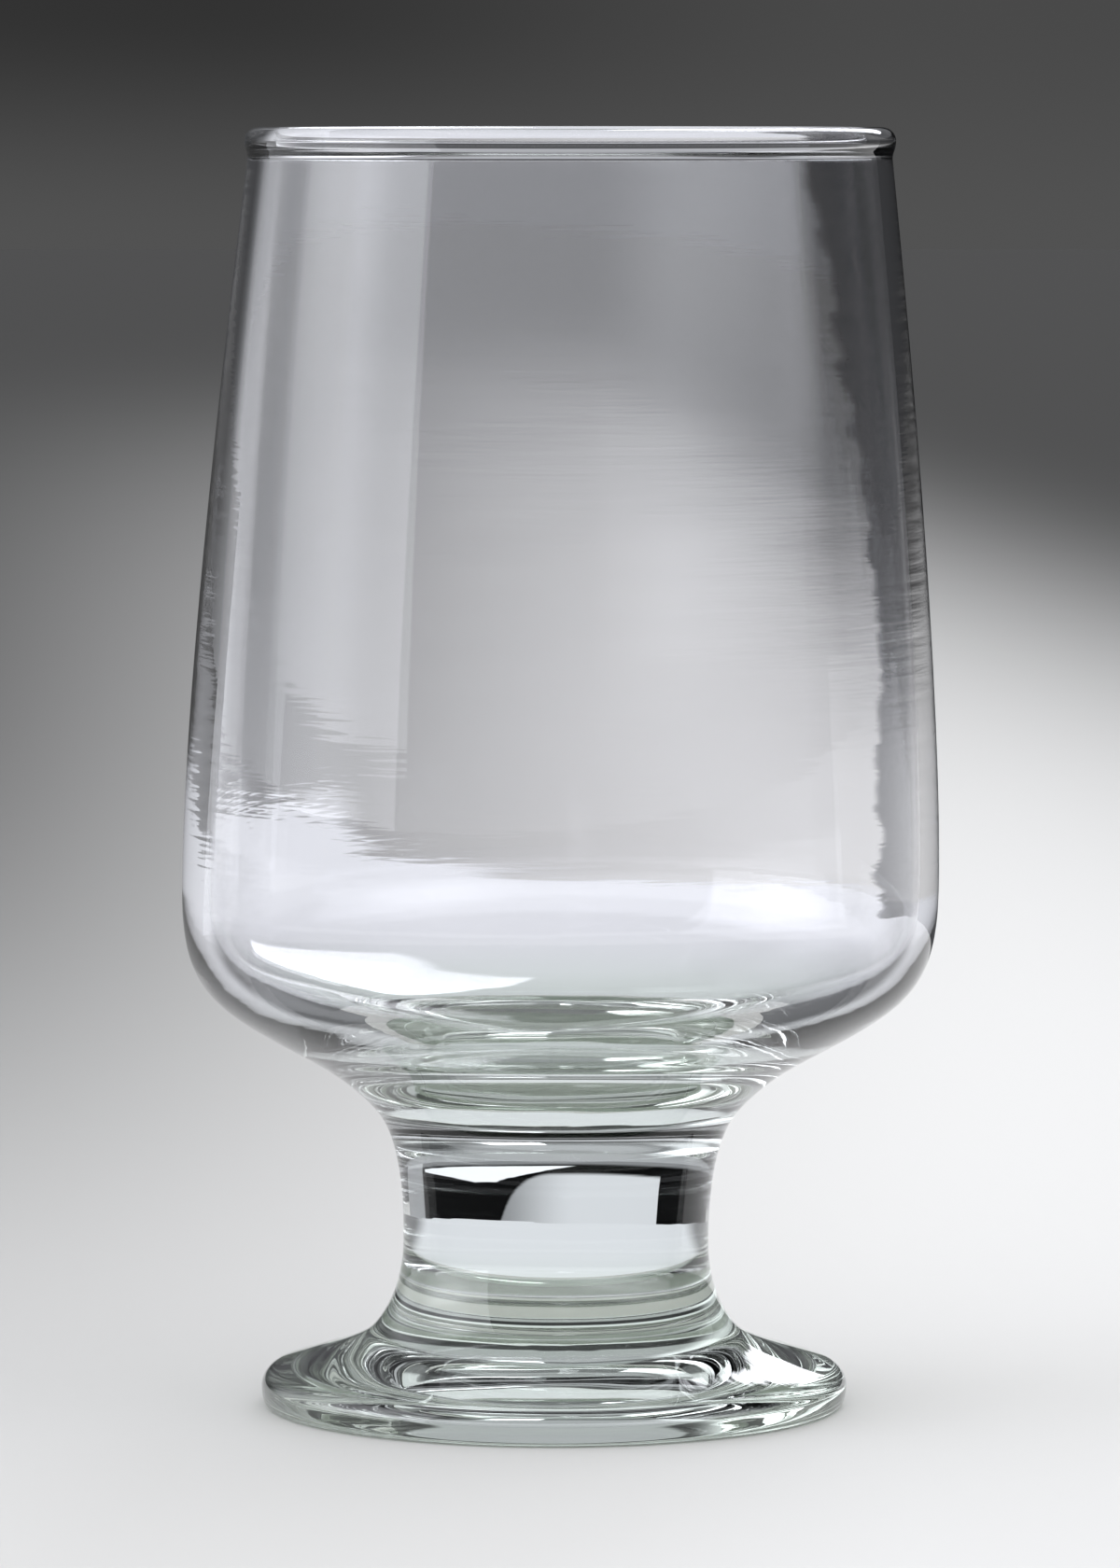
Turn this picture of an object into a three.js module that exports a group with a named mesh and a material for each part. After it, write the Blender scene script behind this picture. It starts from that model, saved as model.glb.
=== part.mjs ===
// A clear glass water goblet: a tapered bowl with a beaded lip, on a short solid stem and a round foot.
// Its four sections are formed one by one and welded hot, so neighbours meet face to face on flat welds.
// Every section is turned about the goblet's axis from an outline in radius and height.
import * as THREE from 'three';

// Driving dimensions in millimetres. Angles are in degrees, measured from the horizontal.

// Foot
const FOOT_DIAMETER = 66;
const FOOT_HEIGHT = 7.9; // table to the weld under the stem
const FOOT_EDGE_HEIGHT = 2; // table to the widest line of the edge
const FOOT_EDGE_RADIUS = 2.3; // rounding above the widest line
const FOOT_EDGE_UNDERCUT = 0.6; // how far the edge turns in below the widest line
const FOOT_TOP_ANGLE = 18; // slope of the upper face next to the edge
const STANDING_RING_WIDTH = 4.2; // flat ring that meets the table
const FOOT_HOLLOW_DEPTH = 1.8; // height of the shallow hollow inside that ring

// Stem
const STEM_BASE_DIAMETER = 42.6; // at the weld on the foot
const STEM_BASE_ANGLE = 34; // slope of the flare at that weld
const STEM_LENGTH = 25.5; // weld to weld
const WAIST_DIAMETER = 34.4;
const WAIST_RISE = 10.5; // weld on the foot to the waist
const STEM_TOP_DIAMETER = 41.2; // at the weld under the bowl
const STEM_TOP_ANGLE = 47.5; // slope of the flare at that weld

// Bowl
const BOWL_HEIGHT = 106.5; // weld on the stem to the weld under the lip bead
const BELLY_DIAMETER = 85;
const BELLY_RISE = 25.2; // weld on the stem to the widest line
const SHOULDER_WIDTH = 12.1; // belly in to the end of the rounded shoulder
const SHOULDER_DROP = 18.2; // belly down to the end of the rounded shoulder
const UNDERSIDE_ANGLE = 28.5; // slope of the underside where the shoulder ends
const LIP_DIAMETER = 72; // outside of the wall under the bead
const LIP_ANGLE = 96.5; // inward lean of the wall under the bead

// Glass thickness of the bowl
const BASE_THICKNESS = 4.6; // on the axis, weld to the floor of the bowl
const SHOULDER_WALL = 3.4;
const BELLY_WALL = 2.6;
const LIP_WALL = 1.9;

// Lip bead
const BEAD_DIAMETER = 72.7;
const BEAD_THICKNESS = 3.2; // across the roll, outside to inside
const BEAD_HEIGHT = 3.5; // weld to the top of the goblet
const BEAD_CROWN = 1.5; // height of the round top above the roll's widest line

// Fullness of each sweep: how far it follows its first and last direction, as shares of its straight length.
const FOOT_TOP_PULL = [0.41, 0.22];
const STEM_BASE_PULL = [0.16, 0.51];
const STEM_TOP_PULL = [0.5, 0.21];
const UNDERSIDE_PULL = [0.38, 0.33];
const SHOULDER_PULL = [0.485, 0.5];
const WALL_PULL = [0.22, 0.41];
const FLOOR_PULL = [0.35, 0.35];
const BEAD_PULL = [0.4, 0.5];

// Fineness of the facets
const SEGMENTS = 64; // round the axis
const WALL_STEPS = 8; // along the long wall of the bowl
const SWEEP_STEPS = 6; // along every other sweep
const ARC_STEPS = 4; // along a quarter round

const LEVEL = 0;
const UPRIGHT = 90;

// Heights of the welds and of the widest and narrowest lines, from the table
const STEM_WELD = FOOT_HEIGHT;
const WAIST = STEM_WELD + WAIST_RISE;
const BOWL_WELD = STEM_WELD + STEM_LENGTH;
const BELLY = BOWL_WELD + BELLY_RISE;
const BEAD_WELD = BOWL_WELD + BOWL_HEIGHT;
const BEAD_WIDEST = BEAD_WELD + BEAD_HEIGHT - BEAD_CROWN;

function point(radius, height) {
  return new THREE.Vector2(radius, height);
}

function direction(angle) {
  const turn = THREE.MathUtils.degToRad(angle);
  return new THREE.Vector2(Math.cos(turn), Math.sin(turn));
}

// The angle of the same slope where the outline runs inwards as it rises.
function leaningIn(angle) {
  return 180 - angle;
}

function line(from, to) {
  return [from, to];
}

// Points of a smooth sweep that leaves one point and reaches the next along the given angles.
function sweep(from, leaving, to, arriving, pull, steps = SWEEP_STEPS) {
  const length = from.distanceTo(to);
  const first = direction(leaving).multiplyScalar(pull[0] * length).add(from);
  const last = direction(arriving).multiplyScalar(-pull[1] * length).add(to);
  return new THREE.CubicBezierCurve(from, first, last, to).getPoints(steps);
}

// Points of an elliptical arc, from one angle to the other.
function arc(centre, radiusAcross, radiusUp, from, to, steps = ARC_STEPS) {
  const start = THREE.MathUtils.degToRad(from);
  const end = THREE.MathUtils.degToRad(to);
  const clockwise = end < start;
  return new THREE.EllipseCurve(
    centre.x, centre.y, radiusAcross, radiusUp, start, end, clockwise,
  ).getPoints(steps);
}

function reversed(points) {
  return [...points].reverse();
}

// Joins stretches that follow on from each other, so that each shared point is kept once.
function join(...stretches) {
  return stretches.flatMap((points, index) => (index === 0 ? points : points.slice(1)));
}

// Turns an outline, which runs anticlockwise round its glass, into a named solid about the Z axis.
function turned(name, outline) {
  const geometry = new THREE.LatheGeometry(outline, SEGMENTS);
  geometry.rotateX(Math.PI / 2);
  const clearGlass = new THREE.MeshStandardMaterial({
    color: 0xe6efec,
    roughness: 0.02,
    metalness: 0,
    transparent: true,
    opacity: 0.35,
  });
  const mesh = new THREE.Mesh(geometry, clearGlass);
  mesh.name = name;
  return mesh;
}

// The foot: a round disc with a soft edge, standing on a flat ring round a shallow hollow.
function makeFoot() {
  const radius = FOOT_DIAMETER / 2;
  const ringOutside = radius - FOOT_EDGE_UNDERCUT;
  const ringInside = ringOutside - STANDING_RING_WIDTH;
  const weldEdge = point(STEM_BASE_DIAMETER / 2, STEM_WELD);

  const hollow = arc(point(0, 0), ringInside, FOOT_HOLLOW_DEPTH, UPRIGHT, LEVEL);
  const ring = line(point(ringInside, 0), point(ringOutside, 0));
  const underEdge = arc(
    point(ringOutside, FOOT_EDGE_HEIGHT), FOOT_EDGE_UNDERCUT, FOOT_EDGE_HEIGHT, -UPRIGHT, LEVEL,
  );
  const upperEdge = arc(
    point(radius - FOOT_EDGE_RADIUS, FOOT_EDGE_HEIGHT),
    FOOT_EDGE_RADIUS, FOOT_EDGE_RADIUS, LEVEL, UPRIGHT - FOOT_TOP_ANGLE,
  );
  const top = sweep(
    upperEdge.at(-1), leaningIn(FOOT_TOP_ANGLE), weldEdge, leaningIn(STEM_BASE_ANGLE), FOOT_TOP_PULL,
  );
  const weld = line(weldEdge, point(0, STEM_WELD));
  return turned('foot', join(hollow, ring, underEdge, upperEdge, top, weld));
}

// The stem: a short solid column, drawn in to a waist and flared into the foot and the bowl.
function makeStem() {
  const lowerEdge = point(STEM_BASE_DIAMETER / 2, STEM_WELD);
  const waist = point(WAIST_DIAMETER / 2, WAIST);
  const upperEdge = point(STEM_TOP_DIAMETER / 2, BOWL_WELD);

  const lowerWeld = line(point(0, STEM_WELD), lowerEdge);
  const lowerFlare = sweep(lowerEdge, leaningIn(STEM_BASE_ANGLE), waist, UPRIGHT, STEM_BASE_PULL);
  const upperFlare = sweep(waist, UPRIGHT, upperEdge, STEM_TOP_ANGLE, STEM_TOP_PULL);
  const upperWeld = line(upperEdge, point(0, BOWL_WELD));
  return turned('stem', join(lowerWeld, lowerFlare, upperFlare, upperWeld));
}

// Points up a side of the bowl from the end of its shoulder, over the belly, to the weld under the bead.
function bowlSide(shoulderEnd, bellyRadius, lipRadius) {
  const belly = point(bellyRadius, BELLY);
  const lip = point(lipRadius, BEAD_WELD);
  return join(
    sweep(shoulderEnd, UNDERSIDE_ANGLE, belly, UPRIGHT, SHOULDER_PULL),
    sweep(belly, UPRIGHT, lip, LIP_ANGLE, WALL_PULL, WALL_STEPS),
  );
}

// The bowl: an open vessel, thin at the lip and heavy at the base.
function makeBowl() {
  const bellyRadius = BELLY_DIAMETER / 2;
  const lipRadius = LIP_DIAMETER / 2;
  const weldEdge = point(STEM_TOP_DIAMETER / 2, BOWL_WELD);
  const floorCentre = point(0, BOWL_WELD + BASE_THICKNESS);
  const shoulderEnd = point(bellyRadius - SHOULDER_WIDTH, BELLY - SHOULDER_DROP);
  const towardsInside = direction(UNDERSIDE_ANGLE + UPRIGHT).multiplyScalar(SHOULDER_WALL);
  const innerShoulderEnd = shoulderEnd.clone().add(towardsInside);

  const weld = line(point(0, BOWL_WELD), weldEdge);
  const underside = sweep(weldEdge, STEM_TOP_ANGLE, shoulderEnd, UNDERSIDE_ANGLE, UNDERSIDE_PULL);
  const outside = bowlSide(shoulderEnd, bellyRadius, lipRadius);
  const inside = bowlSide(innerShoulderEnd, bellyRadius - BELLY_WALL, lipRadius - LIP_WALL);
  const lip = line(outside.at(-1), inside.at(-1));
  const floor = sweep(floorCentre, LEVEL, innerShoulderEnd, UNDERSIDE_ANGLE, FLOOR_PULL);
  return turned('bowl', join(weld, underside, outside, lip, reversed(inside), reversed(floor)));
}

// The lip bead: a roll of glass, a little proud of the wall on both sides, with a round top.
function makeLipBead() {
  const radius = BEAD_DIAMETER / 2;
  const halfThickness = BEAD_THICKNESS / 2;
  const outerNeck = point(LIP_DIAMETER / 2, BEAD_WELD);
  const innerNeck = point(LIP_DIAMETER / 2 - LIP_WALL, BEAD_WELD);
  const outerSide = point(radius, BEAD_WIDEST);
  const innerSide = point(radius - BEAD_THICKNESS, BEAD_WIDEST);
  const rollCentre = point(radius - halfThickness, BEAD_WIDEST);

  const weld = line(innerNeck, outerNeck);
  const outside = sweep(outerNeck, UPRIGHT, outerSide, UPRIGHT, BEAD_PULL, ARC_STEPS);
  const crown = arc(rollCentre, halfThickness, BEAD_CROWN, LEVEL, 2 * UPRIGHT, 2 * ARC_STEPS);
  const inside = sweep(innerNeck, UPRIGHT, innerSide, UPRIGHT, BEAD_PULL, ARC_STEPS);
  return turned('rim_bead', join(weld, outside, crown, reversed(inside)));
}

const goblet = new THREE.Group();
goblet.add(makeFoot(), makeStem(), makeBowl(), makeLipBead());

export default goblet;
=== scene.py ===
"""A clear glass water goblet on a pale floor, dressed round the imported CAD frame.

Outlines are in millimetres of radius and height. Everything that is placed in the scene is in metres.
"""
import math
from typing import NamedTuple

import bpy
import numpy as np
from mathutils import Matrix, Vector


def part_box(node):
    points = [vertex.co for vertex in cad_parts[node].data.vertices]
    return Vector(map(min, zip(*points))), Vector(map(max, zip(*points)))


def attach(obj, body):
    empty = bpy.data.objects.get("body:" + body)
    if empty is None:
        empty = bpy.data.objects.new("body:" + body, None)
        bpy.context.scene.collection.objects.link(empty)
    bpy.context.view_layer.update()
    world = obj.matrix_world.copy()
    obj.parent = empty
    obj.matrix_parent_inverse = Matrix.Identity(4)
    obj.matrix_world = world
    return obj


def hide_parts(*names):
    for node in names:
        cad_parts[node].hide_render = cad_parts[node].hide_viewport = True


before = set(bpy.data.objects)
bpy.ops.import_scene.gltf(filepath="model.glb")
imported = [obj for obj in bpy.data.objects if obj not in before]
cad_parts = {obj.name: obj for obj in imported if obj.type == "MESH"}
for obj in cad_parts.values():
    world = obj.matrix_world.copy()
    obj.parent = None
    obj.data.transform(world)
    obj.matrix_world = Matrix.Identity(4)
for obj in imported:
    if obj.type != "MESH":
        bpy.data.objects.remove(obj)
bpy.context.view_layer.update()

MM = 0.001

# Sizes that the frame gives, in millimetres
_, foot_high = (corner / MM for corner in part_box("foot"))
stem_low, stem_high = (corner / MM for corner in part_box("stem"))
bowl_low, bowl_high = (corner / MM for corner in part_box("bowl"))
bead_low, bead_high = (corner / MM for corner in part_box("rim_bead"))

FOOT_RADIUS = foot_high.x
STEM_BASE_RADIUS = stem_high.x
BELLY_RADIUS = bowl_high.x
BEAD_RADIUS = bead_high.x
STEM_WELD = stem_low.z
BOWL_WELD = bowl_low.z
BEAD_WELD = bead_low.z
TOP = bead_high.z

# Sizes inside those boxes, in millimetres, and slopes in degrees from the horizontal
FOOT_EDGE_HEIGHT = 2
FOOT_EDGE_RADIUS = 2.3
FOOT_EDGE_UNDERCUT = 0.6
FOOT_TOP_ANGLE = 18
STANDING_RING_WIDTH = 4.2
FOOT_HOLLOW_DEPTH = 1.8
STEM_BASE_ANGLE = 34
WAIST_RADIUS = 17.2
WAIST_RISE = 10.5
STEM_TOP_RADIUS = 20.6
STEM_TOP_ANGLE = 47.5
BELLY_RISE = 25.2
SHOULDER_WIDTH = 12.1
SHOULDER_DROP = 18.2
UNDERSIDE_ANGLE = 28.5
LIP_RADIUS = 36
LIP_ANGLE = 96.5
BASE_THICKNESS = 4.6
SHOULDER_WALL = 3.4
BELLY_WALL = 2.6
LIP_WALL = 1.9
BEAD_THICKNESS = 3.2
BEAD_CROWN = 1.5

# Fullness of each sweep: shares of its straight length that it follows its first and last direction
FOOT_TOP_PULL = (0.41, 0.22)
STEM_BASE_PULL = (0.16, 0.51)
STEM_TOP_PULL = (0.5, 0.21)
UNDERSIDE_PULL = (0.38, 0.33)
SHOULDER_PULL = (0.485, 0.5)
WALL_PULL = (0.22, 0.41)
FLOOR_PULL = (0.35, 0.35)
BEAD_PULL = (0.4, 0.5)

# Soft waves in the glass: depth on each surface, in millimetres, and how the waves are mixed
HOLLOW_WAVES = 0.06
FOOT_WAVES = 0.06
STEM_WAVES = 0.03
WALL_WAVES = 0.012
BASE_WAVES = 0.07
WAVE_SEED = 4
WAVE_COUNT = 7
WAVE_TURNS = (1, 8)
WAVE_LENGTHS = (5, 16)

# How far the inside of the bowl sits to one side of the outside, halfway along it, in millimetres
INNER_SHIFT = 0.35

# Lean of the hot-worked goblet to the right, in degrees, while its lip and foot stay level
LEAN = 0.74

# Fineness of the glass meshes
SEGMENTS = 256
LONG_STEPS = 80
SWEEP_STEPS = 32
SHORT_STEPS = 14

# Half of the slit between welded sections, too thin to see, that keeps their faces out of one plane
SLIT = 0.005

LEVEL = 0
UPRIGHT = 90
UP = np.array([0.0, 0.0, 1.0])
SMALLEST_LENGTH = 1e-12


def direction(angle):
    """Unit step along an angle in the plane of radius and height."""
    turn = math.radians(angle)
    return np.array([math.cos(turn), math.sin(turn)])


def leaning_in(angle):
    """The angle of the same slope where the outline runs inwards as it rises."""
    return 2 * UPRIGHT - angle


def sweep(start, leaving, end, arriving, pull, steps=SWEEP_STEPS):
    """Points of a smooth curve that leaves start and reaches end along the given angles."""
    start, end = np.array(start, float), np.array(end, float)
    length = np.linalg.norm(end - start)
    first = start + direction(leaving) * pull[0] * length
    last = end - direction(arriving) * pull[1] * length
    t = np.linspace(0, 1, steps + 1)[:, None]
    return start * (1 - t) ** 3 + first * 3 * t * (1 - t) ** 2 + last * 3 * t**2 * (1 - t) + end * t**3


def arc(centre, across, up, start, end, steps=SHORT_STEPS):
    """Points of an elliptical arc from one angle to the other."""
    turn = np.radians(np.linspace(start, end, steps + 1))
    return np.column_stack([centre[0] + across * np.cos(turn), centre[1] + up * np.sin(turn)])


def line(start, end, steps=SHORT_STEPS):
    """Points of a straight stretch."""
    return np.linspace(np.array(start, float), np.array(end, float), steps + 1)


def foot_curves():
    """From the axis under the foot, round its edge, to the weld with the stem."""
    ring_outside = FOOT_RADIUS - FOOT_EDGE_UNDERCUT
    ring_inside = ring_outside - STANDING_RING_WIDTH
    hollow = arc((0, 0), ring_inside, FOOT_HOLLOW_DEPTH, UPRIGHT, LEVEL, SWEEP_STEPS)
    ring = line((ring_inside, 0), (ring_outside, 0))
    under_edge = arc(
        (ring_outside, FOOT_EDGE_HEIGHT), FOOT_EDGE_UNDERCUT, FOOT_EDGE_HEIGHT, -UPRIGHT, LEVEL,
    )
    upper_edge = arc(
        (FOOT_RADIUS - FOOT_EDGE_RADIUS, FOOT_EDGE_HEIGHT),
        FOOT_EDGE_RADIUS, FOOT_EDGE_RADIUS, LEVEL, UPRIGHT - FOOT_TOP_ANGLE,
    )
    top = sweep(
        upper_edge[-1], leaning_in(FOOT_TOP_ANGLE),
        (STEM_BASE_RADIUS, STEM_WELD), leaning_in(STEM_BASE_ANGLE), FOOT_TOP_PULL,
    )
    return [(hollow, HOLLOW_WAVES), (ring, 0), (under_edge, 0), (upper_edge, 0), (top, FOOT_WAVES)]


def stem_curves():
    """From the weld on the foot, in to the waist, to the weld under the bowl."""
    waist = (WAIST_RADIUS, STEM_WELD + WAIST_RISE)
    lower = sweep(
        (STEM_BASE_RADIUS, STEM_WELD), leaning_in(STEM_BASE_ANGLE), waist, UPRIGHT, STEM_BASE_PULL,
    )
    upper = sweep(waist, UPRIGHT, (STEM_TOP_RADIUS, BOWL_WELD), STEM_TOP_ANGLE, STEM_TOP_PULL)
    return [(lower, STEM_WAVES), (upper, STEM_WAVES)]


def shoulder_ends():
    """The ends of the rounded shoulder, outside and inside."""
    outer = np.array([BELLY_RADIUS - SHOULDER_WIDTH, BOWL_WELD + BELLY_RISE - SHOULDER_DROP])
    inner = outer + direction(UNDERSIDE_ANGLE + UPRIGHT) * SHOULDER_WALL
    return outer, inner


def bowl_side(shoulder_end, belly_radius, lip_radius):
    """The rounded shoulder and the wall above it, up a side of the bowl to the weld under the bead."""
    belly = (belly_radius, BOWL_WELD + BELLY_RISE)
    lip = (lip_radius, BEAD_WELD)
    shoulder = sweep(shoulder_end, UNDERSIDE_ANGLE, belly, UPRIGHT, SHOULDER_PULL)
    wall = sweep(belly, UPRIGHT, lip, LIP_ANGLE, WALL_PULL, LONG_STEPS)
    return shoulder, wall


def bowl_outside_curves():
    """From the weld on the stem, up the outside, to the weld under the bead."""
    outer, _ = shoulder_ends()
    underside = sweep(
        (STEM_TOP_RADIUS, BOWL_WELD), STEM_TOP_ANGLE, outer, UNDERSIDE_ANGLE, UNDERSIDE_PULL,
    )
    shoulder, wall = bowl_side(outer, BELLY_RADIUS, LIP_RADIUS)
    return [(underside, STEM_WAVES), (shoulder, WALL_WAVES), (wall, WALL_WAVES)]


def bead_curves():
    """From the weld outside, over the roll, to the weld inside."""
    widest = TOP - BEAD_CROWN
    half = BEAD_THICKNESS / 2
    outer_neck = (LIP_RADIUS, BEAD_WELD)
    inner_neck = (LIP_RADIUS - LIP_WALL, BEAD_WELD)
    inner_side = (BEAD_RADIUS - BEAD_THICKNESS, widest)
    outside = sweep(outer_neck, UPRIGHT, (BEAD_RADIUS, widest), UPRIGHT, BEAD_PULL, SHORT_STEPS)
    crown = arc((BEAD_RADIUS - half, widest), half, BEAD_CROWN, LEVEL, 2 * UPRIGHT, SWEEP_STEPS)
    inside = sweep(inner_neck, UPRIGHT, inner_side, UPRIGHT, BEAD_PULL, SHORT_STEPS)
    return [(outside, 0), (crown, 0), (inside[::-1], 0)]


def bowl_inside_curves():
    """From the weld under the bead, down the inside, to the axis on the floor of the bowl."""
    _, inner = shoulder_ends()
    floor_centre = (0, BOWL_WELD + BASE_THICKNESS)
    floor = sweep(floor_centre, LEVEL, inner, UNDERSIDE_ANGLE, FLOOR_PULL, LONG_STEPS)
    shoulder, wall = bowl_side(inner, BELLY_RADIUS - BELLY_WALL, LIP_RADIUS - LIP_WALL)
    return [(wall[::-1], WALL_WAVES), (shoulder[::-1], BASE_WAVES), (floor[::-1], BASE_WAVES)]


def joined(curves):
    """Curves that follow on from each other as one outline, with the depth of the waves at each point."""
    points, depths = [], []
    for index, (curve, depth) in enumerate(curves):
        fading = depth * np.sin(np.linspace(0, math.pi, len(curve)))
        points.append(curve if index == 0 else curve[1:])
        depths.append(fading if index == 0 else fading[1:])
    return np.vstack(points), np.concatenate(depths)


def turns_round():
    """Angles of the points of a ring, in radians."""
    return np.linspace(0, 2 * math.pi, SEGMENTS, endpoint=False)


def grid_of(outline):
    """The outline turned about the axis: rings of points in millimetres, one ring for each outline point."""
    turn = turns_round()
    radius, height = outline[:, :1], outline[:, 1:]
    heights = np.broadcast_to(height, (len(outline), SEGMENTS))
    return np.stack([radius * np.cos(turn), radius * np.sin(turn), heights], axis=-1)


def normals_of(grid):
    """Unit outward normals at every point of a grid of rings, from its neighbours along and round it."""
    along = np.gradient(grid, axis=0)
    around = np.roll(grid, -1, axis=1) - np.roll(grid, 1, axis=1)
    normal = np.cross(around, along)
    length = np.linalg.norm(normal, axis=-1, keepdims=True)
    return normal / np.maximum(length, SMALLEST_LENGTH)


def wave_pattern(outline):
    """Soft waves of hand-worked glass over a turned outline, from nought to one."""
    chance = np.random.default_rng(WAVE_SEED)
    steps = np.linalg.norm(np.diff(outline, axis=0), axis=1)
    along = np.concatenate([[0], np.cumsum(steps)])[:, None]
    turn = turns_round()[None]
    total = np.zeros((len(outline), SEGMENTS))
    for _ in range(WAVE_COUNT):
        turns = chance.integers(*WAVE_TURNS)
        length = chance.uniform(*WAVE_LENGTHS)
        total += np.sin(turns * turn + 2 * math.pi * along / length + chance.uniform(0, 2 * math.pi))
    return (1 + total / WAVE_COUNT) / 2


def add_waves(grid, outline, depths):
    """Sinks the surface by the waves, so that it stays inside the outline."""
    grid -= normals_of(grid) * (depths[:, None] * wave_pattern(outline))[..., None]


def shift_inside(grid, count):
    """Moves the last rings, which are the inside of the bowl, to one side and most in the middle."""
    grid[-count:, :, 0] += (INNER_SHIFT * np.sin(np.linspace(0, math.pi, count)))[:, None]


def add_lean(grid):
    """Slides each ring to the side by its height over or under the belly."""
    grid[..., 0] += (grid[..., 2] - BOWL_WELD - BELLY_RISE) * math.tan(math.radians(LEAN))


class Skin(NamedTuple):
    """A stretch of the goblet's surface: rings of points in millimetres, and the unit normals at them."""
    points: np.ndarray
    normals: np.ndarray

    def part(self, first, last):
        """The stretch without some of its rings."""
        return Skin(self.points[first:last], self.normals[first:last])

    def lifted(self, first, last):
        """The stretch with its first and its last ring moved up."""
        points = self.points.copy()
        points[0, :, 2] += first
        points[-1, :, 2] += last
        return Skin(points, self.normals)


def goblet_skins():
    """The whole surface as stretches that run on smoothly: foot, stem, bowl outside, bead and bowl inside."""
    sections = [foot_curves(), stem_curves(), bowl_outside_curves(), bead_curves(), bowl_inside_curves()]
    outline, depths = joined([curve for curves in sections for curve in curves])
    outline[0, 0] = outline[-1, 0] = 0
    counts = [sum(len(points) - 1 for points, _ in curves) for curves in sections]
    grid = grid_of(outline)
    add_waves(grid, outline, depths)
    shift_inside(grid, counts[-1] + 1)
    add_lean(grid)
    normals = normals_of(grid)
    normals[0], normals[-1] = -UP, UP
    whole = Skin(grid, normals)
    ends = np.cumsum(counts)
    return [whole.part(end - count, end + 1) for count, end in zip(counts, ends)]


class Section:
    """One section of glass as a closed mesh: skin, closed by weld faces that let light straight on."""

    GLASS, WELD = 0, 1

    def __init__(self):
        self.points, self.faces, self.kinds, self.corner_normals = [], [], [], []

    def add_face(self, corners, kind, normals):
        """Adds one face by its point numbers, with a normal for each corner."""
        self.faces.append([int(c) for c in corners])
        self.kinds.append(kind)
        self.corner_normals += list(normals)

    def add_skin(self, skin):
        """Adds rings of points with quads of glass between them, and returns each ring's point numbers."""
        start = len(self.points)
        count = len(skin.points)
        rings = start + np.arange(count * SEGMENTS).reshape(count, SEGMENTS)
        self.points += list(skin.points.reshape(-1, 3))
        normals = skin.normals.reshape(-1, 3)
        for low, high in zip(rings[:-1], rings[1:]):
            for a, b in zip(range(SEGMENTS), [*range(1, SEGMENTS), 0]):
                corners = [low[a], low[b], high[b], high[a]]
                self.add_face(corners, self.GLASS, [normals[c - start] for c in corners])
        return rings

    def add_fan(self, ring, centre, kind, normal, outward):
        """Closes a ring with triangles to a point on the axis."""
        tip = len(self.points)
        self.points.append(np.array(centre, float))
        for a, b in zip(ring, np.roll(ring, -1)):
            corners = [a, b, tip] if outward else [b, a, tip]
            self.add_face(corners, kind, [normal] * len(corners))

    def add_washer(self, outer, inner, normal, outward):
        """Closes the flat band between two rings with a weld face."""
        for a, b, c, d in zip(outer, np.roll(outer, -1), np.roll(inner, -1), inner):
            corners = [a, b, c, d] if outward else [d, c, b, a]
            self.add_face(corners, self.WELD, [normal] * len(corners))

    def make(self, name, materials):
        """The section as a Blender object, in metres."""
        mesh = bpy.data.meshes.new(name)
        mesh.from_pydata((np.array(self.points) * MM).tolist(), [], self.faces)
        mesh.polygons.foreach_set("material_index", self.kinds)
        mesh.polygons.foreach_set("use_smooth", [True] * len(self.faces))
        for material in materials:
            mesh.materials.append(material)
        mesh.normals_split_custom_set([tuple(n) for n in self.corner_normals])
        piece = bpy.data.objects.new(name, mesh)
        bpy.context.scene.collection.objects.link(piece)
        return piece


def make_foot(skin, materials):
    """The foot, closed on the axis underneath and by the weld under the stem."""
    foot = Section()
    rings = foot.add_skin(skin.part(1, None).lifted(0, -SLIT))
    foot.add_fan(rings[0], skin.points[0, 0], Section.GLASS, -UP, False)
    foot.add_fan(rings[-1], (0, 0, STEM_WELD - SLIT), Section.WELD, UP, True)
    return foot.make("foot_glass", materials)


def make_stem(skin, materials):
    """The stem, closed by a weld at each end."""
    stem = Section()
    rings = stem.add_skin(skin.lifted(SLIT, -SLIT))
    stem.add_fan(rings[0], (0, 0, STEM_WELD + SLIT), Section.WELD, -UP, False)
    stem.add_fan(rings[-1], (0, 0, BOWL_WELD - SLIT), Section.WELD, UP, True)
    return stem.make("stem_glass", materials)


def make_bowl(outside, inside, materials):
    """The bowl, with welds on the stem and under the bead, closed on the axis of its floor."""
    bowl = Section()
    outer = bowl.add_skin(outside.lifted(SLIT, -SLIT))
    inner = bowl.add_skin(inside.part(0, -1).lifted(-SLIT, 0))
    bowl.add_fan(outer[0], (0, 0, BOWL_WELD + SLIT), Section.WELD, -UP, False)
    bowl.add_washer(outer[-1], inner[0], UP, True)
    bowl.add_fan(inner[-1], inside.points[-1, 0], Section.GLASS, UP, True)
    return bowl.make("bowl_glass", materials)


def make_bead(skin, materials):
    """The lip bead, closed by its weld on the wall."""
    bead = Section()
    rings = bead.add_skin(skin.lifted(SLIT, SLIT))
    bead.add_washer(rings[0], rings[-1], -UP, False)
    return bead.make("rim_bead_glass", materials)


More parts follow.
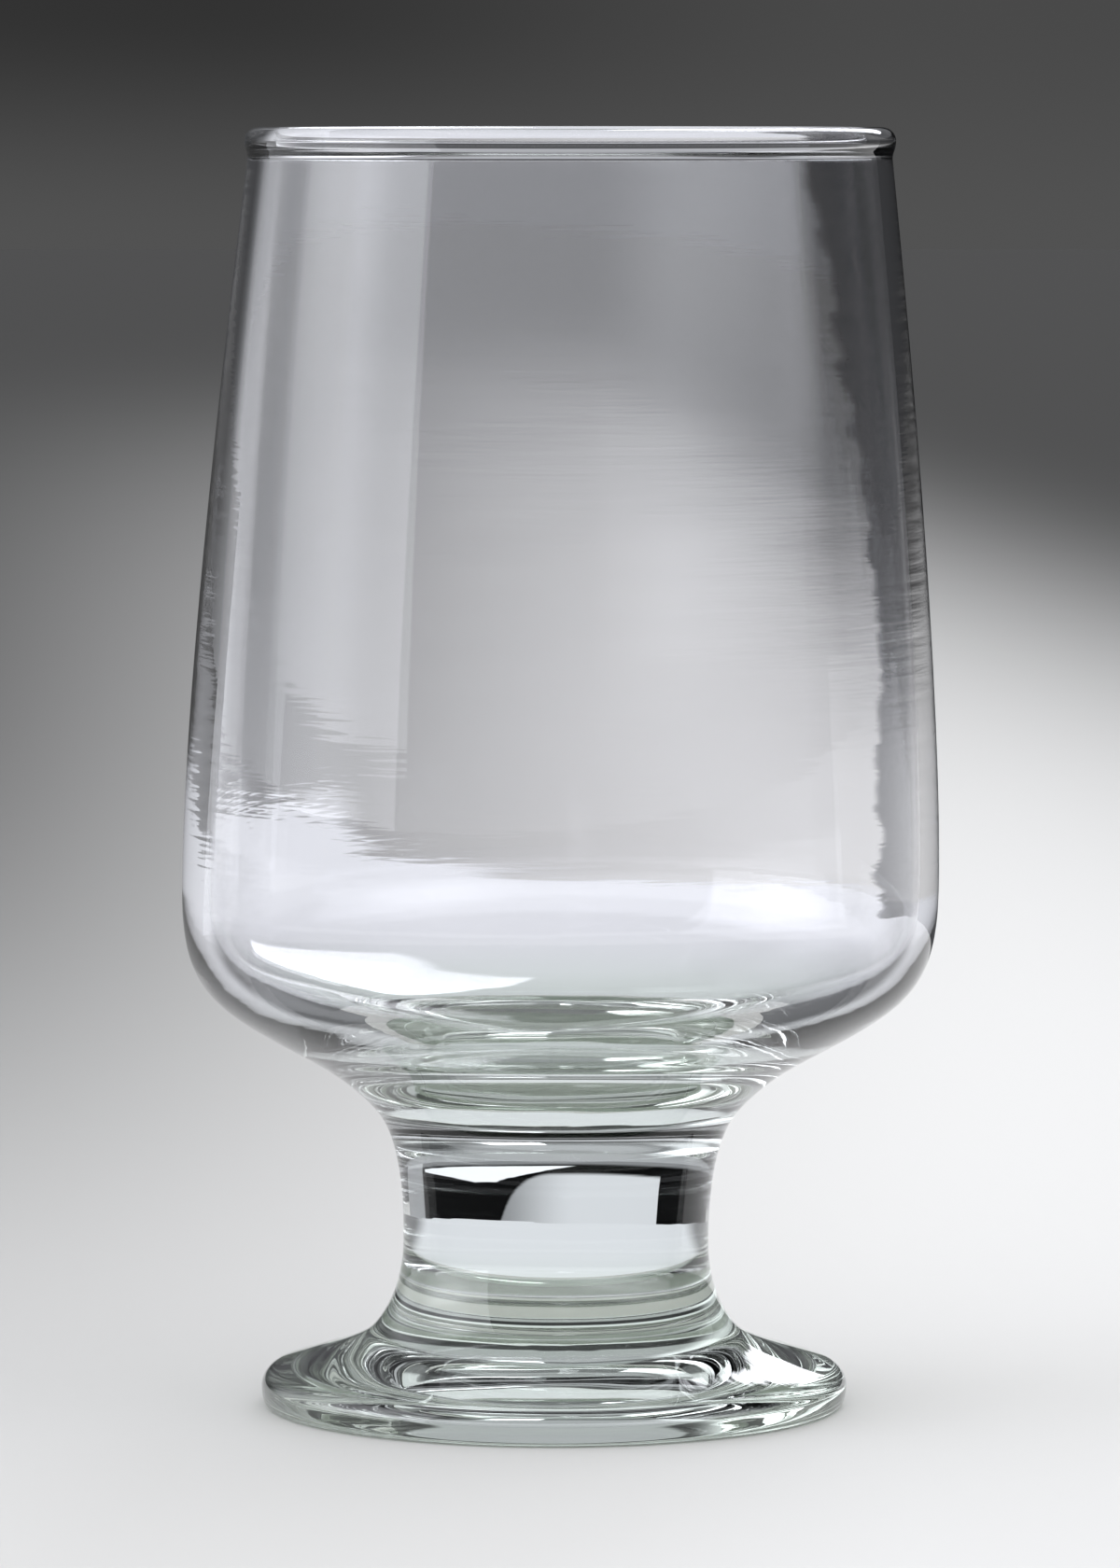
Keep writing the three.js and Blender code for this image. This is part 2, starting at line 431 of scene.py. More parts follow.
class Nodes:
    """Short ways to write shader arithmetic in one node tree."""

    def __init__(self, tree):
        self.tree = tree

    def new(self, kind, **settings):
        """A new node with the given settings."""
        made = self.tree.nodes.new(kind)
        for name, value in settings.items():
            setattr(made, name, value)
        return made

    def put(self, socket, value):
        """Links an output to a socket, or writes a plain value into it."""
        if isinstance(value, bpy.types.NodeSocket):
            self.tree.links.new(value, socket)
        else:
            socket.default_value = value

    def math(self, operation, *values):
        """One step of arithmetic."""
        made = self.new("ShaderNodeMath", operation=operation)
        for socket, value in zip(made.inputs, values):
            self.put(socket, value)
        return made.outputs[0]

    def times(self, result, *others):
        """The product of all the values."""
        for value in others:
            result = self.math("MULTIPLY", result, value)
        return result

    def total(self, result, *others):
        """The sum of all the values."""
        for value in others:
            result = self.math("ADD", result, value)
        return result

    def rest(self, share):
        """What a share leaves of one."""
        return self.math("SUBTRACT", 1.0, share)

    def over(self, value, limit):
        """How far a value lies over a limit, or nought under it."""
        return self.math("MAXIMUM", self.math("SUBTRACT", value, limit), 0.0)

    def reached(self, count, least):
        """One where a whole count has reached the least number, otherwise nought."""
        return self.math("GREATER_THAN", count, least - 0.5)

    def step(self, value, start, end):
        """Nought before start, one after end, smooth between them."""
        made = self.new("ShaderNodeMapRange", interpolation_type="SMOOTHSTEP")
        self.put(made.inputs["Value"], value)
        made.inputs["From Min"].default_value = start
        made.inputs["From Max"].default_value = end
        return made.outputs["Result"]

    def band(self, value, start, end, start_soft, end_soft):
        """One between start and end, fading to nought over the soft widths outside them."""
        rising = self.step(value, start - start_soft, start)
        falling = self.step(value, end + end_soft, end)
        return self.times(rising, falling)

    def fall(self, distance, length, power=1.0):
        """One at no distance, falling off to nought over about the given length."""
        share = self.math("POWER", self.math("DIVIDE", distance, length), power)
        return self.math("EXPONENT", self.math("MULTIPLY", share, -1.0))

    def mix(self, factor, first, second):
        """A number between two others."""
        made = self.new("ShaderNodeMix", data_type="FLOAT")
        self.put(made.inputs["Factor"], factor)
        self.put(made.inputs["A"], first)
        self.put(made.inputs["B"], second)
        return made.outputs["Result"]

    def mix_colour(self, factor, first, second):
        """A colour between two others."""
        made = self.new("ShaderNodeMixRGB")
        self.put(made.inputs["Fac"], factor)
        self.put(made.inputs["Color1"], first)
        self.put(made.inputs["Color2"], second)
        return made.outputs["Color"]

    def place(self):
        """Where the surface is shaded, in metres."""
        return self.new("ShaderNodeTexCoord").outputs["Object"]

    def ray(self, fact):
        """A fact about the ray that meets the surface."""
        return self.new("ShaderNodeLightPath").outputs[fact]

    def split(self, vector):
        """The three numbers of a vector."""
        made = self.new("ShaderNodeSeparateXYZ")
        self.put(made.inputs[0], vector)
        return made.outputs

    def length(self, vector):
        """The length of a vector."""
        made = self.new("ShaderNodeVectorMath", operation="LENGTH")
        self.put(made.inputs[0], vector)
        return made.outputs["Value"]

    def bearing(self, right, ahead):
        """The angle to the right of straight ahead, in degrees."""
        return self.math("DEGREES", self.math("ARCTAN2", right, ahead))

    def noise(self, place, scale, detail):
        """Noise from nought to one at a place that is stretched by a scale along each axis."""
        stretched = self.new("ShaderNodeVectorMath", operation="MULTIPLY")
        self.put(stretched.inputs[0], place)
        self.put(stretched.inputs[1], scale)
        made = self.new("ShaderNodeTexNoise")
        self.put(made.inputs["Vector"], stretched.outputs[0])
        made.inputs["Scale"].default_value = 1
        made.inputs["Detail"].default_value = detail
        return made.outputs["Fac"]

    def raggedness(self, place, scale, detail):
        """Noise from minus a half to a half."""
        return self.math("SUBTRACT", self.noise(place, scale, detail), 0.5)


# Glass: the tints change over heights in metres, and the noise scales are per metre along X, Y and Z
FOOT_TINT = (0.84, 0.92, 0.84, 1)
STEM_TINT = (0.915, 0.945, 0.935, 1)
BASE_TINT = (0.87, 0.93, 0.868, 1)
WALL_TINT = (0.97, 0.968, 0.98, 1)
STEM_TINT_RISE = (0.01, 0.018)
BASE_TINT_RISE = (0.028, 0.036)
WALL_TINT_RISE = (0.036, 0.05)
GLASS_IOR = 1.52
RING_SCALE = (45, 45, 900)
RING_DETAIL = 2
RING_DEPTH = 5e-6
WEAR_SCALE = (260, 260, 260)
WEAR_DETAIL = 3
WEAR_ROUGHNESS = 0.004


def new_material(name):
    """An empty node material and its output."""
    material = bpy.data.materials.new(name)
    material.use_nodes = True
    material.node_tree.nodes.clear()
    output = material.node_tree.nodes.new("ShaderNodeOutputMaterial")
    return material, Nodes(material.node_tree), output


def glass_tint(nodes, place):
    """Greener where the glass is thick, by height from the foot to the wall of the bowl."""
    height = nodes.split(place)["Z"]
    tint = nodes.mix_colour(nodes.step(height, *STEM_TINT_RISE), FOOT_TINT, STEM_TINT)
    tint = nodes.mix_colour(nodes.step(height, *BASE_TINT_RISE), tint, BASE_TINT)
    return nodes.mix_colour(nodes.step(height, *WALL_TINT_RISE), tint, WALL_TINT)


def glass_material():
    """Clear soda-lime glass with faint rings from spinning it hot and a trace of wear on its polish."""
    material, nodes, output = new_material("clear_glass")
    place = nodes.place()
    wear = nodes.noise(place, WEAR_SCALE, WEAR_DETAIL)
    bump = nodes.new("ShaderNodeBump")
    bump.inputs["Strength"].default_value = 1
    bump.inputs["Distance"].default_value = RING_DEPTH
    nodes.put(bump.inputs["Height"], nodes.noise(place, RING_SCALE, RING_DETAIL))
    shader = nodes.new("ShaderNodeBsdfPrincipled")
    nodes.put(shader.inputs["Base Color"], glass_tint(nodes, place))
    shader.inputs["Transmission Weight"].default_value = 1
    shader.inputs["IOR"].default_value = GLASS_IOR
    nodes.put(shader.inputs["Roughness"], nodes.times(wear, WEAR_ROUGHNESS))
    nodes.put(shader.inputs["Normal"], bump.outputs["Normal"])
    nodes.put(output.inputs["Surface"], shader.outputs["BSDF"])
    return material


def clear_material(name):
    """A face that lets light straight on, as where glass runs on through a weld."""
    material, nodes, output = new_material(name)
    shader = nodes.new("ShaderNodeBsdfTransparent")
    nodes.put(output.inputs["Surface"], shader.outputs["BSDF"])
    return material


def add_goblet():
    """The four sections, each in place of its solid."""
    foot, stem, outside, bead, inside = goblet_skins()
    materials = (glass_material(), clear_material("fused_weld"))
    pieces = {
        "foot": make_foot(foot, materials),
        "stem": make_stem(stem, materials),
        "bowl": make_bowl(outside, inside, materials),
        "rim_bead": make_bead(bead, materials),
    }
    for node, piece in pieces.items():
        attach(piece, "root")
        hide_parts(node)


# Camera, from the ellipses of the lip and the foot in the photograph: metres, degrees and millimetres
CAMERA_DISTANCE = 0.9505
CAMERA_HEIGHT = 0.1475
CAMERA_PITCH = 4.668
CAMERA_ASIDE = -0.00005
CAMERA_LENS = 195.0
CAMERA_SENSOR = 36
CAMERA_REACH = 50


def add_camera():
    """The camera in front of the goblet, looking slightly down."""
    data = bpy.data.cameras.new("camera")
    data.lens = CAMERA_LENS
    data.sensor_width = CAMERA_SENSOR
    data.clip_end = CAMERA_REACH
    camera = bpy.data.objects.new("camera", data)
    bpy.context.scene.collection.objects.link(camera)
    tilt = Matrix.Rotation(math.radians(UPRIGHT - CAMERA_PITCH), 4, "X")
    camera.matrix_world = Matrix.Translation((CAMERA_ASIDE, -CAMERA_DISTANCE, CAMERA_HEIGHT)) @ tilt
    bpy.context.scene.camera = camera


def add_object(name, points, faces, material):
    """A plain mesh object with one material."""
    mesh = bpy.data.meshes.new(name)
    mesh.from_pydata(points, [], faces)
    mesh.materials.append(material)
    made = bpy.data.objects.new(name, mesh)
    bpy.context.scene.collection.objects.link(made)
    return made


# Floor: pale near the goblet and grey far behind it, painted shade for the studio light that falls off with
# distance. Falls are in metres, slants are across by depth
FLOOR_RADIUS = 7.0
FLOOR_SIDES = 96
FLOOR_DROP = 0.0002
LEFT_NEAR, LEFT_FAR = 0.63, 0.058
LEFT_START, LEFT_FALL, LEFT_FALL_POWER = -0.12, 0.47, 1.35
RIGHT_NEAR, RIGHT_FAR = 0.675, 0.061
RIGHT_START, RIGHT_FALL, RIGHT_FALL_POWER = 0.0, 1.6, 3.0
RIGHT_TILT = 9
RIGHT_TILT_MIDDLE = 0.045
RIGHT_TILT_LEAST, RIGHT_TILT_MOST = 0.65, 1.2
SIDE_BLEND = (-0.105, 0.06)
NEAREST_DEPTH = 0.3


def right_fall_tilt(nodes, slant):
    """How much faster the right side's painted shade falls off, growing to the right: a painted shadow edge
    at the back right.
    """
    tilt = nodes.math("MULTIPLY_ADD", nodes.math("SUBTRACT", slant, RIGHT_TILT_MIDDLE), RIGHT_TILT, 1.0)
    return nodes.math("MINIMUM", nodes.math("MAXIMUM", tilt, RIGHT_TILT_LEAST), RIGHT_TILT_MOST)


def floor_material():
    """Pale matt floor whose colour falls off with distance behind the goblet, as painted shade."""
    material, nodes, output = new_material("floor")
    across, back, _ = nodes.split(nodes.place())
    depth = nodes.math("MAXIMUM", nodes.math("ADD", back, CAMERA_DISTANCE), NEAREST_DEPTH)
    slant = nodes.math("DIVIDE", across, depth)
    left_way = nodes.over(back, LEFT_START)
    left = nodes.mix(nodes.fall(left_way, LEFT_FALL, LEFT_FALL_POWER), LEFT_FAR, LEFT_NEAR)
    right_way = nodes.times(nodes.over(back, RIGHT_START), right_fall_tilt(nodes, slant))
    right = nodes.mix(nodes.fall(right_way, RIGHT_FALL, RIGHT_FALL_POWER), RIGHT_FAR, RIGHT_NEAR)
    shader = nodes.new("ShaderNodeBsdfDiffuse")
    # The colour carries the painted shade: darker with distance, sooner on the right
    nodes.put(shader.inputs["Color"], nodes.mix(nodes.step(slant, *SIDE_BLEND), left, right))
    nodes.put(output.inputs["Surface"], shader.outputs["BSDF"])
    return material


def add_floor():
    """A wide round floor just under the foot."""
    turns = np.linspace(0, 2 * math.pi, FLOOR_SIDES, endpoint=False)
    points = [(FLOOR_RADIUS * math.cos(turn), FLOOR_RADIUS * math.sin(turn), -FLOOR_DROP) for turn in turns]
    add_object("floor", points, [list(range(len(points)))], floor_material())


# Faces that a ray has crossed when it has passed through glass once, as through the solid stem and foot
ONCE_THROUGH = 2


def passed_glass(nodes):
    """One for a ray that has passed through glass, otherwise nought."""
    return nodes.reached(nodes.ray("Transmission Depth"), ONCE_THROUGH)


def through_more(nodes):
    """One for a ray that has passed through glass more than once, as through the bowl."""
    return nodes.reached(nodes.ray("Transmission Depth"), ONCE_THROUGH + 1)


def through_solid(nodes):
    """One for a ray that has passed through glass just once."""
    return nodes.times(passed_glass(nodes), nodes.rest(through_more(nodes)))


def straight_on(nodes):
    """One for a ray that has passed through glass without being mirrored in it."""
    mirrored = nodes.reached(nodes.ray("Glossy Depth"), 1)
    return nodes.times(passed_glass(nodes), nodes.rest(mirrored))


def straight_through_solid(nodes):
    """One for a ray that has passed through glass just once without being mirrored in it."""
    return nodes.times(through_solid(nodes), straight_on(nodes))


def turned_back(nodes):
    """One for every ray but those that go straight on, which look past the goblet."""
    return nodes.rest(straight_on(nodes))


def from_floor(nodes):
    """One for a ray that has left the floor."""
    return nodes.reached(nodes.ray("Diffuse Depth"), 1)


class Patch(NamedTuple):
    """A patch of light: its level, and where it starts and ends and how softly, in degrees across and up."""
    level: float
    across: tuple
    up: tuple


# Studio light by direction: degrees right of the camera's side or of straight behind, and degrees up
FRONT_LOW = Patch(1.35, (-90, 30, 30, 60), (-8, 16, 2, 6))
FRONT_HIGH = Patch(1.2, (-90, 60, 30, 30), (11, 17, 5, 5))
RIGHT_HIGH = Patch(1.8, (40, 85, 35, 12), (6, 10, 4, 5))
LEFT_BOX = Patch(2.0, (-76, -52, 44, 1), (-1, 40, 1.5, 10))
LEFT_WING = Patch(1.0, (-130, -80, 20, 20), (-1, 40, 1.5, 10))
REAR_LAMP = Patch(5.5, (4, 24, 1, 4), (16, 50, 1, 4))
REAR_GLOW = Patch(0.45, (-70, 70, 15, 15), (17, 60, 3, 10))
DIM_SIDE = (96, 128, 4, 4)
DIM_SIDE_SHARE = 0.1
AMBIENT_RISE = (3, 10)
AMBIENT_LOW, AMBIENT_HIGH = 0.09, 0.2
SOLID_AMBIENT = 0.05
OVERHEAD_RISE = (45, 60)
OVERHEAD = 0.35
FLOOR_LIGHT = 1.18
# Camera's backdrop over the end of the floor: painted shade, dark grey, carrying on the floor's fall-off
HORIZON_RISE = (-1.06, 0.6)
HORIZON_LEVEL, LEFT_SKY_LEVEL, RIGHT_SKY_LEVEL = 0.084, 0.0325, 0.067
SKY_BLEND = (-2.5, 2.5)

# Colour of what the glass shows of the studio, and of plain light
VEIL_TINT = (0.925, 0.945, 1.0, 1)
WHITE = (1, 1, 1, 1)


class Studio:
    """The level of the light from each direction, in the world's node tree."""

    def __init__(self, nodes):
        x, y, z = nodes.split(nodes.new("ShaderNodeTexCoord").outputs["Generated"])
        self.nodes = nodes
        self.right = nodes.bearing(x, nodes.math("MULTIPLY", y, -1.0))
        self.behind = nodes.bearing(x, y)
        self.up = nodes.math("DEGREES", nodes.math("ARCSINE", z))
        self.overhead = nodes.times(nodes.step(self.up, *OVERHEAD_RISE), OVERHEAD)
        left = self.patches(self.right, LEFT_BOX, LEFT_WING)
        self.left = nodes.times(left, turned_back(nodes))

    def patches(self, across, *patches):
        """Patches of light added up, with their places across taken from one of the bearings."""
        nodes = self.nodes
        total = 0.0
        for patch in patches:
            shape = nodes.times(nodes.band(across, *patch.across), nodes.band(self.up, *patch.up))
            total = nodes.math("MULTIPLY_ADD", shape, patch.level, total)
        return total

    def bowl_light(self):
        """What the outside of the glass mirrors and what is seen through the thin bowl."""
        nodes = self.nodes
        ambient = nodes.mix(nodes.step(self.up, *AMBIENT_RISE), AMBIENT_LOW, AMBIENT_HIGH)
        dim_side = nodes.mix(nodes.band(self.right, *DIM_SIDE), 1.0, DIM_SIDE_SHARE)
        front = nodes.times(self.patches(self.right, FRONT_LOW, FRONT_HIGH, RIGHT_HIGH), turned_back(nodes))
        rear = self.patches(self.behind, REAR_LAMP)
        return nodes.total(nodes.times(ambient, dim_side), self.overhead, self.left, front, rear)

    def solid_light(self):
        """What is seen through solid glass."""
        rear = self.patches(self.behind, REAR_GLOW)
        return self.nodes.total(SOLID_AMBIENT, self.overhead, self.left, rear)

    def sky(self):
        """What the camera sees over the end of the floor: a painted dark backdrop that carries on the floor's
        painted shade.
        """
        nodes = self.nodes
        high = nodes.mix(nodes.step(self.behind, *SKY_BLEND), LEFT_SKY_LEVEL, RIGHT_SKY_LEVEL)
        return nodes.mix(nodes.step(self.up, *HORIZON_RISE), HORIZON_LEVEL, high)


def add_world():
    """Studio light round the goblet: what the glass shows, what the floor gets and what the camera sees."""
    world = bpy.data.worlds.new("studio")
    world.use_nodes = True
    world.node_tree.nodes.clear()
    nodes = Nodes(world.node_tree)
    studio = Studio(nodes)
    shown = nodes.mix(through_solid(nodes), studio.bowl_light(), studio.solid_light())
    lit = nodes.mix(from_floor(nodes), shown, FLOOR_LIGHT)
    from_camera = nodes.ray("Is Camera Ray")
    plain = nodes.math("MAXIMUM", from_camera, from_floor(nodes))
    background = nodes.new("ShaderNodeBackground")
    nodes.put(background.inputs["Color"], nodes.mix_colour(plain, VEIL_TINT, WHITE))
    nodes.put(background.inputs["Strength"], nodes.mix(from_camera, lit, studio.sky()))
    output = nodes.new("ShaderNodeOutputWorld")
    nodes.put(output.inputs["Surface"], background.outputs["Background"])
    bpy.context.scene.world = world


# Cards: fineness of curved ones, and how far flat ones lie over the table
CARD_STEPS = 41
CARD_LIFT = 0.001


def flat_ring(inner, outer, start, end):
    """Corners of a flat ring just over the table, between two bearings from the camera's side."""
    points = []
    for turn in np.radians(np.linspace(start, end, CARD_STEPS)):
        for radius in (outer, inner):
            points.append((radius * math.sin(turn), -radius * math.cos(turn), CARD_LIFT))
    return points


def upright_ring(radius, start, end, low, high, steps=CARD_STEPS):
    """Corners of an upright ring between two heights and between two bearings from straight behind."""
    points = []
    for turn in np.radians(np.linspace(start, end, steps)):
        for height in (low, high):
            points.append((radius * math.sin(turn), radius * math.cos(turn), height))
    return points


def strip_faces(count):
    """Faces of a strip whose corners are numbered in pairs across it."""
    return [[2 * i, 2 * i + 2, 2 * i + 3, 2 * i + 1] for i in range(count // 2 - 1)]


class Card:
    """A glowing card that only the glass shows, with a level and a cover that may change over it."""

    def __init__(self, name):
        self.name = name
        self.material, self.nodes, self.output = new_material(name)
        self.place = self.nodes.place()

    def put_up(self, points, level, cover):
        """Makes the card as a strip of points, hidden from the camera and from the floor's light."""
        nodes = self.nodes
        glow = nodes.new("ShaderNodeEmission")
        glow.inputs["Color"].default_value = VEIL_TINT
        nodes.put(glow.inputs["Strength"], level)
        shader = nodes.new("ShaderNodeMixShader")
        nodes.put(shader.inputs["Fac"], nodes.times(cover, nodes.rest(from_floor(nodes))))
        nodes.put(shader.inputs[1], nodes.new("ShaderNodeBsdfTransparent").outputs["BSDF"])
        nodes.put(shader.inputs[2], glow.outputs["Emission"])
        nodes.put(self.output.inputs["Surface"], shader.outputs["Shader"])
        card = add_object(self.name, points, strip_faces(len(points)), self.material)
        card.visible_camera = False
        card.visible_diffuse = False
        card.visible_shadow = False


# Unseen band round the stem and the foot: it marks the rays that cross it as theirs, in metres
BAND_RADIUS = 0.0445
BAND_TOP = 0.05
BAND_STEPS = 96
FULL_TURN = 360


def add_marker_band():
    """The band, which lets every ray through and is counted by it."""
    points = upright_ring(BAND_RADIUS, 0, FULL_TURN, CARD_LIFT, BAND_TOP, BAND_STEPS)
    band = add_object("marker_band", points, strip_faces(len(points)), clear_material("marker_band"))
    band.visible_diffuse = False
    band.visible_shadow = False


# Screen behind the goblet that its solid stem and foot show: heights in metres, bearings in degrees
SCREEN_DISTANCE = 0.25
SCREEN_SPAN = (-70, 62)
SCREEN_TOP = 0.1
SCREEN_DARK = 0.004
SCREEN_HIGH_LEVEL = 0.3
SCREEN_HIGH_RISE = (0.08, 0.09)
SCREEN_SIDE_RISE = (44, 45)
SCREEN_SIDE_LEVEL = 0.4
DOME_SPAN = (-27.5, 17, 0.3, 0.3)
DOME_TOP = 0.062
DOME_BEND_START = 1
DOME_BEND = 0.0004
DOME_SOFT = 0.008
DOME_LEFT_LEVEL, DOME_RIGHT_LEVEL = 0.85, 0.32
DOME_SHADE = (-5, 15)
WHITE_SPAN = (-30, 42, 4, 1)
WHITE_LOW, WHITE_HIGH = 0.042, 0.078
WHITE_LEFT_START, WHITE_LEFT_SLOPE = 14, 0.002
WHITE_RIGHT_START, WHITE_RIGHT_SLOPE = 20, 0.0012
WHITE_SOFT = 0.002
WHITE_LEVEL = 1.25


def dome_shape(nodes, behind, height):
    """One inside the lit dome, whose top bends down to the right."""
    bend = nodes.over(behind, DOME_BEND_START)
    top = nodes.math("SUBTRACT", DOME_TOP, nodes.times(bend, bend, DOME_BEND))
    under_top = nodes.step(nodes.math("SUBTRACT", top, height), 0.0, DOME_SOFT)
    return nodes.times(under_top, nodes.band(behind, *DOME_SPAN))


def white_shape(nodes, behind, height):
    """One inside the white field, whose lower edge slants up to both sides."""
    left_way = nodes.over(WHITE_LEFT_START, behind)
    right_way = nodes.over(behind, WHITE_RIGHT_START)
    low = nodes.math("MULTIPLY_ADD", left_way, WHITE_LEFT_SLOPE, WHITE_LOW)
    low = nodes.math("MULTIPLY_ADD", right_way, WHITE_RIGHT_SLOPE, low)
    over_low = nodes.step(nodes.math("SUBTRACT", height, low), 0.0, WHITE_SOFT)
    under_high = nodes.step(height, WHITE_HIGH + WHITE_SOFT, WHITE_HIGH)
    return nodes.times(over_low, under_high, nodes.band(behind, *WHITE_SPAN))


def screen_level(nodes, place):
    """Dark, with a lit dome low in the middle and a white field above it."""
    x, y, height = nodes.split(place)
    behind = nodes.bearing(x, y)
    dark = nodes.mix(nodes.step(height, *SCREEN_HIGH_RISE), SCREEN_DARK, SCREEN_HIGH_LEVEL)
    side = nodes.times(nodes.step(behind, *SCREEN_SIDE_RISE), SCREEN_SIDE_LEVEL)
    dome = nodes.mix(nodes.step(behind, *DOME_SHADE), DOME_LEFT_LEVEL, DOME_RIGHT_LEVEL)
    level = nodes.mix(dome_shape(nodes, behind, height), nodes.total(dark, side), dome)
    return nodes.mix(white_shape(nodes, behind, height), level, WHITE_LEVEL)


def add_rear_screen():
    """The screen, for rays that the band has marked. It isn't seen through the open mouth."""
    card = Card("rear_screen")
    nodes = card.nodes
    marked = nodes.reached(nodes.ray("Transparent Depth"), 1)
    cover = nodes.times(straight_through_solid(nodes), marked)
    points = upright_ring(SCREEN_DISTANCE, *SCREEN_SPAN, 0.0, SCREEN_TOP)
    card.put_up(points, screen_level(nodes, card.place), cover)


# Floor behind the goblet as the glass shows it, where the goblet gathers light: metres and degrees
REAR_FLOOR = (0.04, 1.2, 95, 265)
REAR_FLOOR_LEVEL = 0.9
REAR_FLOOR_FADE = (0.57, 0.51)
REAR_FLOOR_LEFT = (0.0, -0.1)
REAR_FLOOR_LEFT_REACH = 0.18
# Bearings past which the card is dimmed for solid glass, a painted shadow of the goblet
REAR_FLOOR_SIDES = (40, 55)
REAR_FLOOR_SIDE_SHARE = 0.25
REAR_FLOOR_RAGGED = 0.2
REAR_FLOOR_GRAIN = (11, 14, 0)
REAR_FLOOR_DETAIL = 4


def rear_floor_level(nodes, place):
    """Even, but dim to the sides for rays that leave solid glass: a painted shadow of the goblet on the
    floor.
    """
    x, y, _ = nodes.split(place)
    aside = nodes.step(nodes.math("ABSOLUTE", nodes.bearing(x, y)), *REAR_FLOOR_SIDES)
    dim = nodes.mix(nodes.times(aside, through_solid(nodes)), 1.0, REAR_FLOOR_SIDE_SHARE)
    return nodes.times(dim, REAR_FLOOR_LEVEL)


def rear_floor_cover(nodes, place):
    """Up to a ragged end, further on the left. Rays straight through solid glass show it up to the screen."""
    distance = nodes.length(place)
    on_left = nodes.step(nodes.split(place)["X"], *REAR_FLOOR_LEFT)
    ragged = nodes.raggedness(place, REAR_FLOOR_GRAIN, REAR_FLOOR_DETAIL)
    way = nodes.math("MULTIPLY_ADD", on_left, -REAR_FLOOR_LEFT_REACH, distance)
    way = nodes.math("MULTIPLY_ADD", ragged, REAR_FLOOR_RAGGED, way)
    beyond_screen = nodes.math("GREATER_THAN", distance, SCREEN_DISTANCE)
    hidden = nodes.times(beyond_screen, straight_through_solid(nodes))
    return nodes.times(nodes.step(way, *REAR_FLOOR_FADE), passed_glass(nodes), nodes.rest(hidden))


def add_rear_floor():
    """The lit floor behind the goblet."""
    card = Card("rear_floor")
    level = rear_floor_level(card.nodes, card.place)
    card.put_up(flat_ring(*REAR_FLOOR), level, rear_floor_cover(card.nodes, card.place))


# Floor in front that the glass mirrors: dark close by, then bright, less so on the left. Metres, degrees
FRONT_RING = (0.05, 0.30, -104, 104)
FRONT_RING_LEVEL = 0.01
FRONT_FLOOR = (0.35, 6.9, -100, 92)
FRONT_FLOOR_LEVEL = 3.8
FRONT_FLOOR_RISE = 1.4
FRONT_FLOOR_FAR = (0.9, 1.6)
FRONT_FLOOR_FAR_LEVEL = 0.9
LEFT_FLOOR = (0.35, 6.9, -135, -100)
LEFT_FLOOR_LEVEL = 1.2


def not_through_bowl(nodes):
    """One for a ray that turns back towards the front without passing through the bowl."""
    return nodes.times(nodes.rest(through_more(nodes)), turned_back(nodes))


def front_floor_level(nodes, place):
    """Brighter with distance, then even far off. Solid glass shows it black."""
    distance = nodes.length(place)
    near = nodes.times(nodes.rest(nodes.fall(distance, FRONT_FLOOR_RISE)), FRONT_FLOOR_LEVEL)
    level = nodes.mix(nodes.step(distance, *FRONT_FLOOR_FAR), near, FRONT_FLOOR_FAR_LEVEL)
    return nodes.times(level, nodes.rest(through_solid(nodes)))


def add_front_floor():
    """The dark ring close in front, the bright floor beyond it and its left part."""
    ring = Card("front_ring")
    ring.put_up(flat_ring(*FRONT_RING), FRONT_RING_LEVEL, not_through_bowl(ring.nodes))
    front = Card("front_floor")
    level = front_floor_level(front.nodes, front.place)
    front.put_up(flat_ring(*FRONT_FLOOR), level, turned_back(front.nodes))
    left = Card("left_floor")
    left.put_up(flat_ring(*LEFT_FLOOR), LEFT_FLOOR_LEVEL, not_through_bowl(left.nodes))


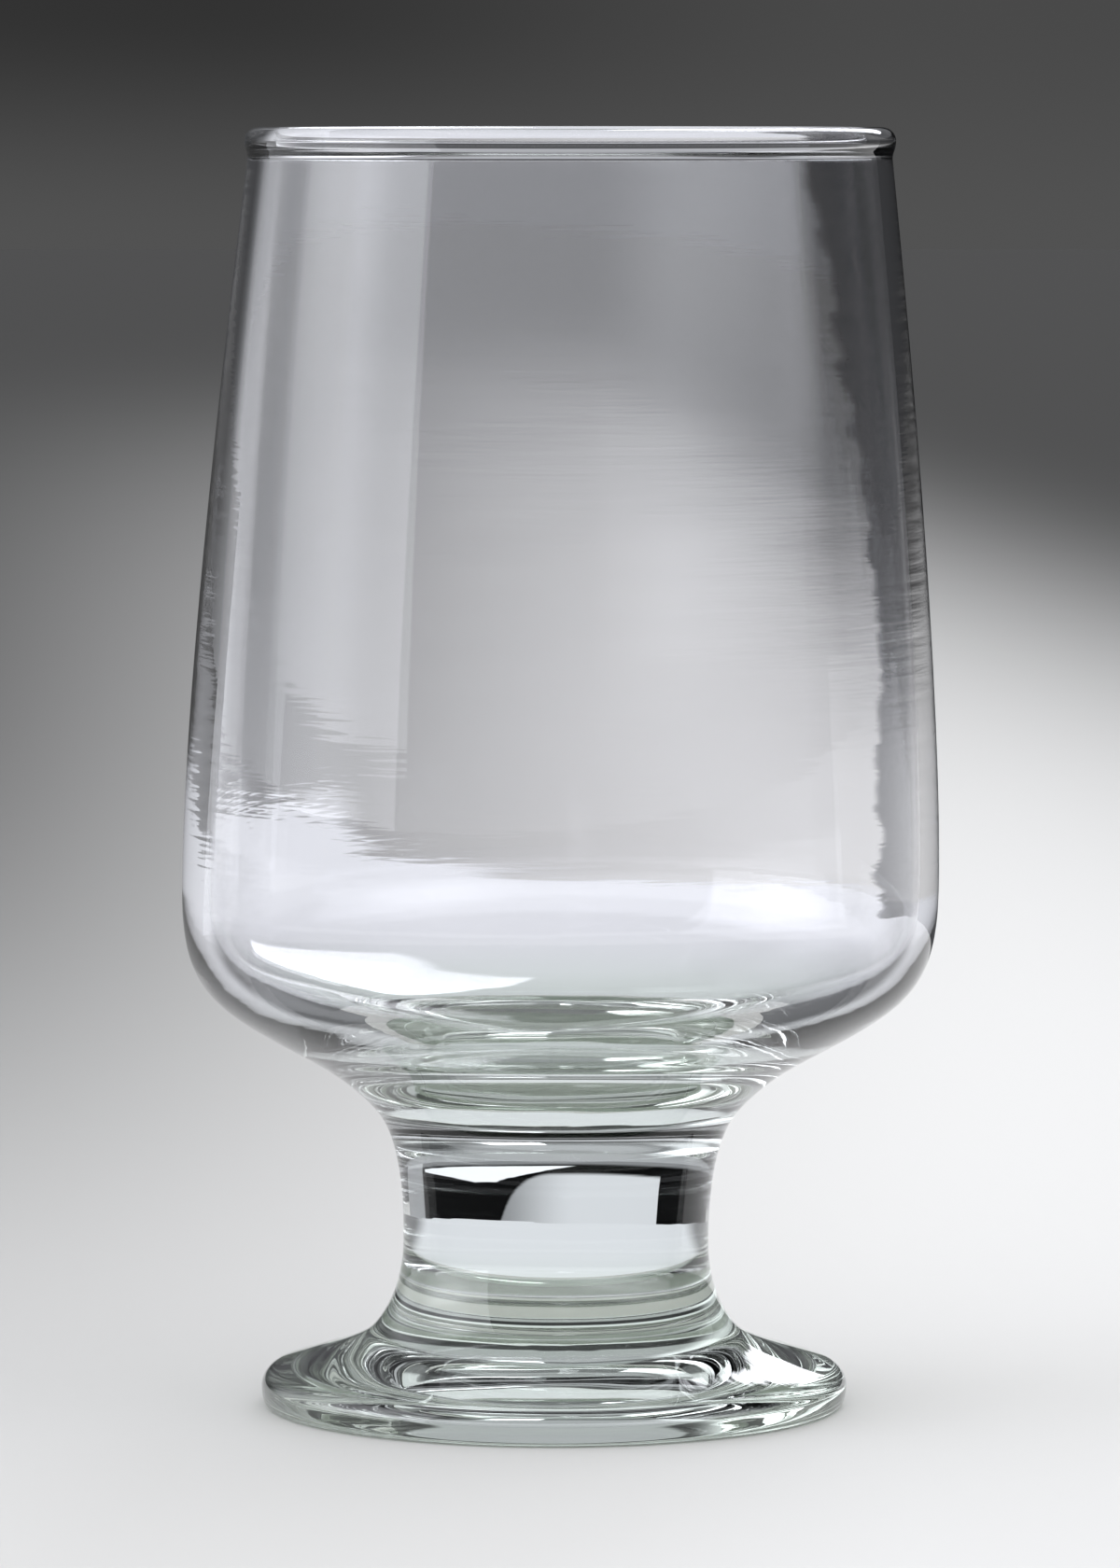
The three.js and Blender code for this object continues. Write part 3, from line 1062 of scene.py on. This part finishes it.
# Dark card on the right behind the bowl, whose left edge is the slanting dark streak in its wall, in metres
RIGHT_CARD = ((0.05, 0.15, 0.03), (0.03, 0.15, 0.16), (0.16, 0.13, 0.03), (0.145, 0.13, 0.16))
RIGHT_CARD_LOW_LEVEL, RIGHT_CARD_HIGH_LEVEL = 0.12, 0.01
RIGHT_CARD_LEVEL_RISE = (0.06, 0.09)
RIGHT_CARD_SOFT = 0.004
RIGHT_CARD_EDGE = 0.0555
RIGHT_CARD_LEAN_START = 0.08
RIGHT_CARD_LEAN = 0.3
RIGHT_CARD_RAGGED = 0.018
RIGHT_CARD_GRAIN = (25, 25, 220)
RIGHT_CARD_DETAIL = 5


def right_card_cover(nodes, place):
    """Past a ragged left edge, which leans to the left as it rises. Solid glass doesn't show the card."""
    x, _, height = nodes.split(place)
    risen = nodes.over(height, RIGHT_CARD_LEAN_START)
    edge = nodes.math("MULTIPLY_ADD", risen, -RIGHT_CARD_LEAN, RIGHT_CARD_EDGE)
    ragged = nodes.raggedness(place, RIGHT_CARD_GRAIN, RIGHT_CARD_DETAIL)
    past = nodes.math("MULTIPLY_ADD", ragged, RIGHT_CARD_RAGGED, nodes.math("SUBTRACT", x, edge))
    return nodes.times(nodes.step(past, 0.0, RIGHT_CARD_SOFT), nodes.rest(through_solid(nodes)))


def add_right_card():
    """The card, darker towards its top."""
    card = Card("right_card")
    rise = card.nodes.step(card.nodes.split(card.place)["Z"], *RIGHT_CARD_LEVEL_RISE)
    level = card.nodes.mix(rise, RIGHT_CARD_LOW_LEVEL, RIGHT_CARD_HIGH_LEVEL)
    card.put_up(RIGHT_CARD, level, right_card_cover(card.nodes, card.place))


# Bounces that light needs to find its way through the glass
BOUNCES = 32
GLOSSY_BOUNCES = 16
TRANSPARENT_BOUNCES = 64

scene = bpy.context.scene
scene.view_settings.view_transform = "Standard"
scene.cycles.max_bounces = BOUNCES
scene.cycles.transmission_bounces = BOUNCES
scene.cycles.glossy_bounces = GLOSSY_BOUNCES
scene.cycles.transparent_max_bounces = TRANSPARENT_BOUNCES

add_goblet()
add_camera()
add_floor()
add_world()
add_marker_band()
add_rear_screen()
add_rear_floor()
add_front_floor()
add_right_card()
